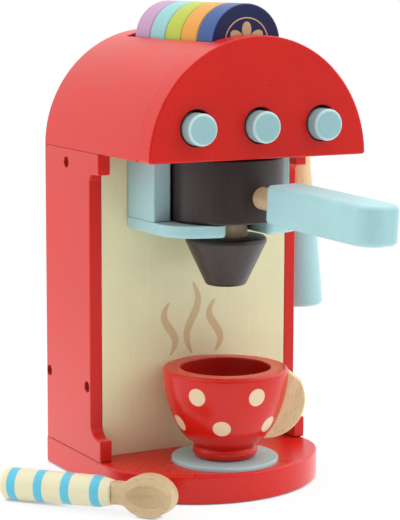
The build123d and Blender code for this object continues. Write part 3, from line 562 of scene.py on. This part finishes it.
class COFFEE_OT_capsules(bpy.types.Operator):
    """Paint the capsules, and print a ring and a rosette on the front one"""

    bl_idname = "coffee.capsules"
    bl_label = "Capsules"

    def execute(self, context):
        colours = context.scene.coffee_colours
        for name in ("lilac", "aqua", "lime", "orange"):
            paint = satin_paint(f"capsule_{name}_paint", getattr(colours, name), ACROSS, 0.46)
            dress(paint, f"capsule_{name}")
        dress(self.shaded_printed_face(context), "capsule_blue")
        dress(beech("trough_wood", colours.beech, DEEP), "trough_floor", "trough_rail_left",
              "trough_rail_right", "trough_end_stop")
        return {"FINISHED"}

    def shaded_printed_face(self, context):
        """Blue paint with navy on the front face as painted shade, and a printed thin ring and
        rosette on it.
        """
        colours = context.scene.coffee_colours
        sizes = context.scene.coffee_sizes
        graph = Graph("capsule_blue_paint")
        centre = tuple(middle("capsule_blue"))
        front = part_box("capsule_blue")[0].y
        petal_middle, petal_long, petal_half = 7.6 * MM, 4.6 * MM, 3.1 * MM
        heart_outer, heart_inner = 2.3 * MM, 2.1 * MM
        face_shade_end, face_shade_full = front + 0.62 * MM, front + 0.55 * MM
        line_outer, line_inner = sizes.ring_width * 0.62, sizes.ring_width * 0.38
        parts = graph.parts(graph.vector("SUBTRACT", graph.where, centre))
        reach = length_of(graph, parts[0], parts[2])
        ring_off = graph.sum("ABSOLUTE", graph.sum("SUBTRACT", reach, sizes.ring_radius))
        ring = graph.span(ring_off, line_outer, line_inner, smooth=True)
        along, aside = around(graph, centre, sizes.petals, math.pi / 2, (0, 2), petal_middle)
        petal = length_of(graph, graph.sum("DIVIDE", along, petal_long),
                          graph.sum("DIVIDE", aside, petal_half))
        rosette = graph.span(petal, 1.03, 0.98, smooth=True)
        heart = graph.span(reach, heart_outer, heart_inner, smooth=True)
        mark = graph.sum("MAXIMUM", graph.sum("MAXIMUM", ring, rosette), heart)
        # Painted shade: the front face is painted navy, darker than the blue side; the ring and
        # rosette are print.
        face = graph.span(graph.parts(graph.where)[1], face_shade_end, face_shade_full)
        printed = graph.blend(mark, colours.face_shade_navy, colours.print_tan)
        coloured = graph.blend(face, colours.blue, printed)
        return painted(graph, coloured, ACROSS, 0.44)


class COFFEE_OT_filter_holder(bpy.types.Operator):
    """Finish the holder under the head and the filter holder in it"""

    bl_idname = "coffee.filter_holder"
    bl_label = "Filter holder"

    def execute(self, context):
        colours = context.scene.coffee_colours
        dress(satin_paint("holder_paint_upright", colours.turquoise, UP, 0.40),
              "holder_block_left", "holder_block_right")
        dress(satin_paint("holder_paint_across", colours.turquoise, ACROSS, 0.40), "holder_plate")
        dress(dark_stain("drum_stain", colours.brown_stain, UP), "filter_drum")
        dress(dark_stain("spout_stain", colours.brown_stain, UP), "spout_cone")
        dress(beech("neck_wood", colours.beech, UP, 0.74), "neck_dowel")
        handle_line = tuple((middle("paddle_handle") - middle("handle_dowel")).normalized())
        dress(beech("handle_wood", colours.beech, handle_line, 0.86), "handle_dowel")
        dress(satin_paint("paddle_paint", colours.turquoise, handle_line, 0.38), "paddle_handle")
        return {"FINISHED"}


class COFFEE_OT_steam_wand(bpy.types.Operator):
    """Finish the steam wand and its peg"""

    bl_idname = "coffee.steam_wand"
    bl_label = "Steam wand"

    def execute(self, context):
        colours = context.scene.coffee_colours
        dress(beech("wand_wood", colours.beech, UP, 1.08, 0.3), "wand_stem")
        dress(satin_paint("wand_paint", colours.turquoise, UP, 0.38), "wand_nozzle")
        dress(beech("peg_wood", colours.beech, ACROSS, 0.9), "wand_peg", "wand_spacer")
        return {"FINISHED"}


class COFFEE_OT_cup(bpy.types.Operator):
    """Paint the saucer, and the cup with two rows of dots"""

    bl_idname = "coffee.cup"
    bl_label = "Cup and saucer"

    def execute(self, context):
        colours = context.scene.coffee_colours
        saucer_paint = painted(
            Graph("saucer_paint"), tuple(colours.saucer_grey), ACROSS, 0.36, joints=False)
        dress(saucer_paint, "saucer")
        dress(self.dotted_paint(context), "cup")
        handle_grain = (0.358, -0.194, 0.914)
        dress(beech("cup_handle_wood", colours.beech, handle_grain, 1.17), "cup_handle")
        return {"FINISHED"}

    def dotted_paint(self, context):
        """Red paint with painted shade in the cup's hollow, and cream dots on the outside."""
        colours = context.scene.coffee_colours
        sizes = context.scene.coffee_sizes
        graph = Graph("cup_paint")
        axis = middle("saucer")
        soft = 0.08 * MM
        dots_beyond = 27.0 * MM
        inside_shade_from, inside_shade_full = -1.0 * MM, -8.0 * MM
        far = 1.0
        # turns of the dots in degrees, from the front towards the right
        rows = ((sizes.dot_high, (-56.0, 1.1, 121.0, 182.0, 243.0)),
                (sizes.dot_low, (-89.3, -32.8, 25.8, 86.0, 147.0, 209.0)))
        nearest = far
        for height, turns in rows:
            radius = self.outer_radius(axis, height)
            for turn in turns:
                angle = math.radians(turn)
                spot = (axis.x + radius * math.sin(angle),
                        axis.y - radius * math.cos(angle), height)
                nearest = graph.sum("MINIMUM", nearest, graph.vector("DISTANCE", graph.where, spot))
        dots = graph.span(nearest, sizes.dot_radius + soft, sizes.dot_radius - soft, smooth=True)
        parts = graph.parts(graph.vector("SUBTRACT", graph.where, (axis.x, axis.y, 0.0)))
        facing = graph.parts(graph.facing())
        outward = graph.sum("ADD", graph.sum("MULTIPLY", parts[0], facing[0]),
                            graph.sum("MULTIPLY", parts[1], facing[1]))
        outside = graph.sum("GREATER_THAN", length_of(graph, parts[0], parts[1]), dots_beyond)
        # Painted shade: the hollow of the cup is painted darker.
        inside_shade = graph.span(outward, inside_shade_from, inside_shade_full, smooth=True)
        red = graph.blend(inside_shade, colours.cup_red, shade(colours.cup_red, 0.62))
        coloured = graph.blend(graph.sum("MULTIPLY", dots, outside), red, colours.dot_cream)
        return painted(graph, coloured, UP, 0.25, joints=False, haze=0.02)

    def outer_radius(self, axis, height):
        """How far the cup's outside stands from its axis at a height."""
        wall_beyond, slack = 26.0 * MM, 0.3 * MM
        reach = [(abs(v.co.z - height), math.hypot(v.co.x - axis.x, v.co.y - axis.y))
                 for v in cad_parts["cup"].data.vertices]
        close = min(gap for gap, size in reach if size > wall_beyond)
        return max(size for gap, size in reach if gap < close + slack)


class COFFEE_OT_spoon(bpy.types.Operator):
    """Paint the spoon's handle with bands and finish its bowl"""

    bl_idname = "coffee.spoon"
    bl_label = "Spoon"

    def execute(self, context):
        colours = context.scene.coffee_colours
        sizes = context.scene.coffee_sizes
        start, direction = self.line()
        graph = Graph("spoon_handle_paint")
        run = graph.vector("DOT_PRODUCT", graph.vector("SUBTRACT", graph.where, start), direction)
        soft = 0.07 * MM
        band = 0.0
        for begin in sizes.band_starts:
            end = begin + sizes.band_width
            here = graph.sum("MULTIPLY", graph.span(run, begin, begin + soft),
                             graph.span(run, end + soft, end))
            band = graph.sum("MAXIMUM", band, here)
        coloured = graph.blend(band, colours.spoon_cream, colours.spoon_blue)
        dress(painted(graph, coloured, direction, 0.34, joints=False), "spoon_handle")
        dress(beech("spoon_wood", colours.beech, direction, 0.90), "spoon_bowl")
        return {"FINISHED"}

    def line(self):
        """Rear end and direction of the line from the handle's middle to the bowl's."""
        low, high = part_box("spoon_handle")
        centre = (low + high) / 2
        direction = (middle("spoon_bowl") - centre).normalized()
        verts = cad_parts["spoon_handle"].data.vertices
        first = min(direction.dot(v.co - centre) for v in verts)
        return tuple(centre + direction * first), tuple(direction)


class COFFEE_OT_fasteners(bpy.types.Operator):
    """Finish the screws and the dowels"""

    bl_idname = "coffee.fasteners"
    bl_label = "Screws and dowels"

    def execute(self, context):
        colours = context.scene.coffee_colours
        steel = plated_steel("screw_steel", colours.zinc)
        dress(steel, "side_screws", "base_screws", "head_screws")
        dress(beech("dowel_wood", colours.beech, UP), "panel_dowels", "holder_block_dowels",
              "holder_plate_dowels")
        dress(beech("dowel_wood_deep", colours.beech, DEEP), "front_plate_dowels")
        return {"FINISHED"}


class COFFEE_OT_stage(bpy.types.Operator):
    """Set up the floor, the surroundings and the camera"""

    bl_idname = "coffee.stage"
    bl_label = "Studio"

    floor_radius = 1.1
    floor_grey = 0.92
    contact_reach, contact_light = 2.2 * MM, 0.45
    floor_gleam, gleam_from, gleam_to = 0.6, 0.10, 0.80
    floor_share, white_from, white_to = 0.85, 0.10, 0.45
    backdrop_from, backdrop_to = 0.2, 0.9
    glow_spread = 5.0
    room_level = 0.12
    # turn from the front towards the right, rise above the floor, strength
    glows = ((45, 8, 0.58), (90, 8, 0.97), (135, 8, 0.58), (180, 8, 0.30), (225, 8, 0.95),
             (270, 8, 0.55), (0, 48, 0.12), (45, 48, 0.82), (90, 48, 1.02), (135, 48, 0.62),
             (180, 48, 0.30), (225, 48, 0.78), (270, 48, 0.63), (0, 90, 0.68))
    camera_place = (-0.5571, -1.0274, 0.3161)
    camera_target = (0.01212, 0.0209, 0.12914)
    camera_roll = 0.20
    lens, sensor_width = 171.36, 36.0
    lens_shift = (0.00395, 0.0137)
    clip_start, clip_end = 0.05, 100.0

    def execute(self, context):
        self.floor()
        self.surroundings(context.scene)
        self.camera(context.scene)
        context.scene.view_settings.view_transform = "Standard"
        return {"FINISHED"}

    def floor(self):
        """A pale floor that turns plain white away from the toy, with a painted contact shadow
        close to it.
        """
        bm = bmesh.new()
        bmesh.ops.create_circle(bm, cap_ends=True, segments=96, radius=self.floor_radius)
        mesh = bpy.data.meshes.new("floor")
        bm.to_mesh(mesh)
        bm.free()
        floor = bpy.data.objects.new("floor", mesh)
        bpy.context.scene.collection.objects.link(floor)
        graph = Graph("floor_white")
        tree = graph.tree
        plain = graph.add("ShaderNodeBsdfDiffuse")
        plain.inputs["Color"].default_value = (self.floor_grey,) * 3 + (1.0,)
        white = graph.add("ShaderNodeEmission")
        reach = graph.vector("LENGTH", graph.where)
        path = graph.add("ShaderNodeLightPath")
        near = graph.span(reach, self.gleam_from, self.gleam_to, self.floor_gleam, 0.0, smooth=True)
        gleam = graph.sum("MULTIPLY", path.outputs["Is Glossy Ray"], near)
        graph.feed(white.inputs["Strength"], graph.sum("ADD", 1.0, gleam))
        # Painted contact shadow: the floor's white is darkened where the toy shuts out light close
        # by.
        contact = graph.occlusion_shade(self.contact_reach, self.contact_light)
        graph.feed(white.inputs["Color"], graph.blend(contact, (0.0, 0.0, 0.0), (1.0, 1.0, 1.0)))
        seen = graph.sum("MAXIMUM", path.outputs["Is Camera Ray"],
                         graph.sum("MAXIMUM", path.outputs["Is Glossy Ray"],
                                   path.outputs["Is Transmission Ray"]))
        whiteness = graph.span(reach, self.white_from, self.white_to, self.floor_share, 1.0,
                               smooth=True)
        share = graph.sum("MULTIPLY", seen, whiteness)
        both = graph.add("ShaderNodeMixShader")
        graph.feed(both.inputs[0], share)
        tree.links.new(plain.outputs[0], both.inputs[1])
        tree.links.new(white.outputs[0], both.inputs[2])
        output = graph.add("ShaderNodeOutputMaterial")
        tree.links.new(both.outputs[0], output.inputs["Surface"])
        mesh.materials.append(graph.material)

    def surroundings(self, scene):
        """A white backdrop, and for the toy a soft room with broad glows around it."""
        world = bpy.data.worlds.new("studio")
        world.use_nodes = True
        scene.world = world
        tree = world.node_tree
        tree.nodes.clear()
        link = tree.links.new

        def maths(kind, *values):
            """A math node on up to three values."""
            node = tree.nodes.new("ShaderNodeMath")
            node.operation = kind
            for socket, value in zip(node.inputs, values):
                if isinstance(value, bpy.types.NodeSocket):
                    link(value, socket)
                else:
                    socket.default_value = value
            return node.outputs[0]

        towards = tree.nodes.new("ShaderNodeTexCoord").outputs["Generated"]
        level = self.room_level
        for turn, rise, strength in self.glows:
            turn, rise = math.radians(turn), math.radians(rise)
            facing = tree.nodes.new("ShaderNodeVectorMath")
            facing.operation = "DOT_PRODUCT"
            link(towards, facing.inputs[0])
            facing.inputs[1].default_value = (
                math.sin(turn) * math.cos(rise), -math.cos(turn) * math.cos(rise), math.sin(rise))
            spread = maths("MAXIMUM", facing.outputs["Value"], 0.0)
            spread = maths("POWER", spread, self.glow_spread)
            level = maths("ADD", level, maths("MULTIPLY", spread, strength))
        room = tree.nodes.new("ShaderNodeBackground")
        room.inputs["Color"].default_value = (1.0, 1.0, 1.0, 1.0)
        link(level, room.inputs["Strength"])
        white = tree.nodes.new("ShaderNodeBackground")
        white.inputs["Strength"].default_value = 1.0
        white.inputs["Color"].default_value = (1.0, 1.0, 1.0, 1.0)
        path = tree.nodes.new("ShaderNodeLightPath")
        both = tree.nodes.new("ShaderNodeMixShader")
        depth = tree.nodes.new("ShaderNodeSeparateXYZ")
        link(towards, depth.inputs[0])
        backdrop = tree.nodes.new("ShaderNodeMapRange")
        backdrop.interpolation_type = "SMOOTHSTEP"
        link(depth.outputs["Y"], backdrop.inputs["Value"])
        backdrop.inputs["From Min"].default_value = self.backdrop_from
        backdrop.inputs["From Max"].default_value = self.backdrop_to
        mirrored = maths("MULTIPLY", path.outputs["Is Glossy Ray"], backdrop.outputs["Result"])
        seen = maths("MAXIMUM", path.outputs["Is Camera Ray"], path.outputs["Is Transmission Ray"])
        link(maths("MAXIMUM", seen, mirrored), both.inputs[0])
        link(room.outputs[0], both.inputs[1])
        link(white.outputs[0], both.inputs[2])
        output = tree.nodes.new("ShaderNodeOutputWorld")
        link(both.outputs[0], output.inputs["Surface"])

    def camera(self, scene):
        """A long lens, from the front left and a little above."""
        place = Vector(self.camera_place)
        roll = math.radians(self.camera_roll)
        look = (Vector(self.camera_target) - place).normalized()
        right = look.cross(Vector(UP)).normalized()
        top = right.cross(look)
        side = right * math.cos(roll) + top * math.sin(roll)
        head = top * math.cos(roll) - right * math.sin(roll)
        data = bpy.data.cameras.new("camera")
        data.sensor_fit = "HORIZONTAL"
        data.sensor_width = self.sensor_width
        data.lens = self.lens
        data.shift_x, data.shift_y = self.lens_shift
        data.clip_start, data.clip_end = self.clip_start, self.clip_end
        camera = bpy.data.objects.new("camera", data)
        scene.collection.objects.link(camera)
        turn = Matrix((side, head, -look)).transposed()
        camera.matrix_world = Matrix.Translation(place) @ turn.to_4x4()
        scene.camera = camera


class COFFEE_PT_panel(bpy.types.Panel):
    """Lists the pieces of the toy coffee maker"""

    bl_idname = "COFFEE_PT_panel"
    bl_label = "Coffee Maker"
    bl_space_type = "VIEW_3D"
    bl_region_type = "UI"
    bl_category = "Coffee Maker"

    def draw(self, context):
        layout = self.layout
        for operator in PIECES:
            layout.operator(operator.bl_idname)
        for group in (context.scene.coffee_colours, context.scene.coffee_sizes):
            box = layout.box()
            for key in group.bl_rna.properties.keys():
                if key not in ("rna_type", "name"):
                    box.prop(group, key)


PIECES = (
    COFFEE_OT_cabinet,
    COFFEE_OT_board,
    COFFEE_OT_buttons,
    COFFEE_OT_capsules,
    COFFEE_OT_filter_holder,
    COFFEE_OT_steam_wand,
    COFFEE_OT_cup,
    COFFEE_OT_spoon,
    COFFEE_OT_fasteners,
    COFFEE_OT_stage,
)
CLASSES = (CoffeeColours, CoffeeSizes) + PIECES + (COFFEE_PT_panel,)


def register():
    """Register the classes and attach the settings to the scene."""
    for cls in CLASSES:
        bpy.utils.register_class(cls)
    bpy.types.Scene.coffee_colours = PointerProperty(type=CoffeeColours)
    bpy.types.Scene.coffee_sizes = PointerProperty(type=CoffeeSizes)


def unregister():
    """Remove the settings and the classes."""
    del bpy.types.Scene.coffee_sizes
    del bpy.types.Scene.coffee_colours
    for cls in reversed(CLASSES):
        bpy.utils.unregister_class(cls)


def plain(box):
    """A box as lists of numbers."""
    return [[float(part) for part in corner] for corner in box]


def main():
    """Finish every piece and set the stage."""
    register()
    for operator in PIECES:
        family, action = operator.bl_idname.split(".")
        getattr(getattr(bpy.ops, family), action)()


if __name__ == "__main__":
    main()
